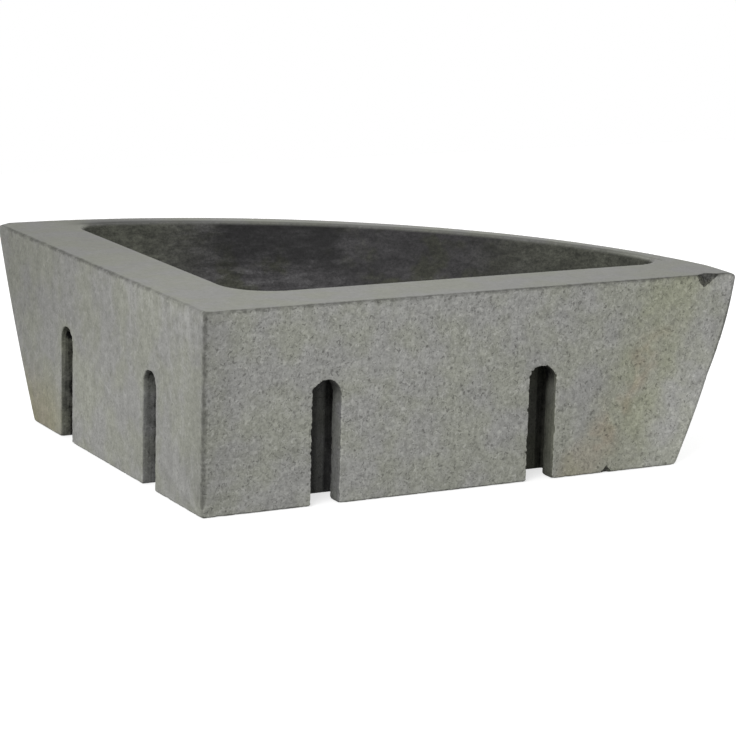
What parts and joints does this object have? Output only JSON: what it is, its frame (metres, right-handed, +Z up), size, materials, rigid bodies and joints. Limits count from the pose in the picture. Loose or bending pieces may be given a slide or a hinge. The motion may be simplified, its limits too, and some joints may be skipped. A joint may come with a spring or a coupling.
{
  "type": "corner wash basin",
  "caption": "Quarter-round stone corner basin that hangs on wall bolts by T-slots in its two flat back faces, with a push-to-close waste in the bowl floor.",
  "frame": {"origin": "foot of the wall corner: where the two back faces would meet on the underside, before the edge is rounded", "axes": "+X along the longer wall, +Y along the shorter wall, +Z up; the curved front faces +X and +Y"},
  "size_m": [0.4525, 0.4025, 0.148],
  "materials": {
    "stone": "honed rim, finely pitted faces",
    "chromed_brass": "polished",
    "raw_brass": "machined",
    "black_rubber": "matte",
    "white_plastic": "moulded",
    "spring_steel": "drawn wire"
  },
  "bodies": {
    "basin": {"basin": "stone", "waste_body": "chromed_brass", "flange_gasket": "black_rubber", "under_gasket": "black_rubber", "slip_washer": "white_plastic", "back_nut": "raw_brass", "cartridge_sleeve": "raw_brass", "cartridge_end_cap": "raw_brass", "return_spring": "spring_steel"},
    "plug": {"plug_cap": "chromed_brass", "plug_seal": "black_rubber", "plug_stud": "spring_steel", "stud_locknut": "raw_brass", "plunger": "raw_brass"},
    "cam": {"index_cam": "white_plastic"}
  },
  "joints": [
    {"name": "plug_press", "type": "slide", "parent": "basin", "child": "plug", "axis": [0, 0, -1], "range_m": [0, 0.008], "stiffness_N_per_m": 300, "springref_m": -0.01, "deforming": ["return_spring"]},
    {"name": "cam_turn", "type": "hinge", "parent": "plug", "child": "cam", "pos_m": [0.185, 0.168, 0.029], "axis": [0, 0, 1], "range_deg": [0, 45]}
  ],
  "couplings": [
    {"joint": "cam_turn", "follows": "plug_press", "rad_per_m": 98.17}
  ]
}
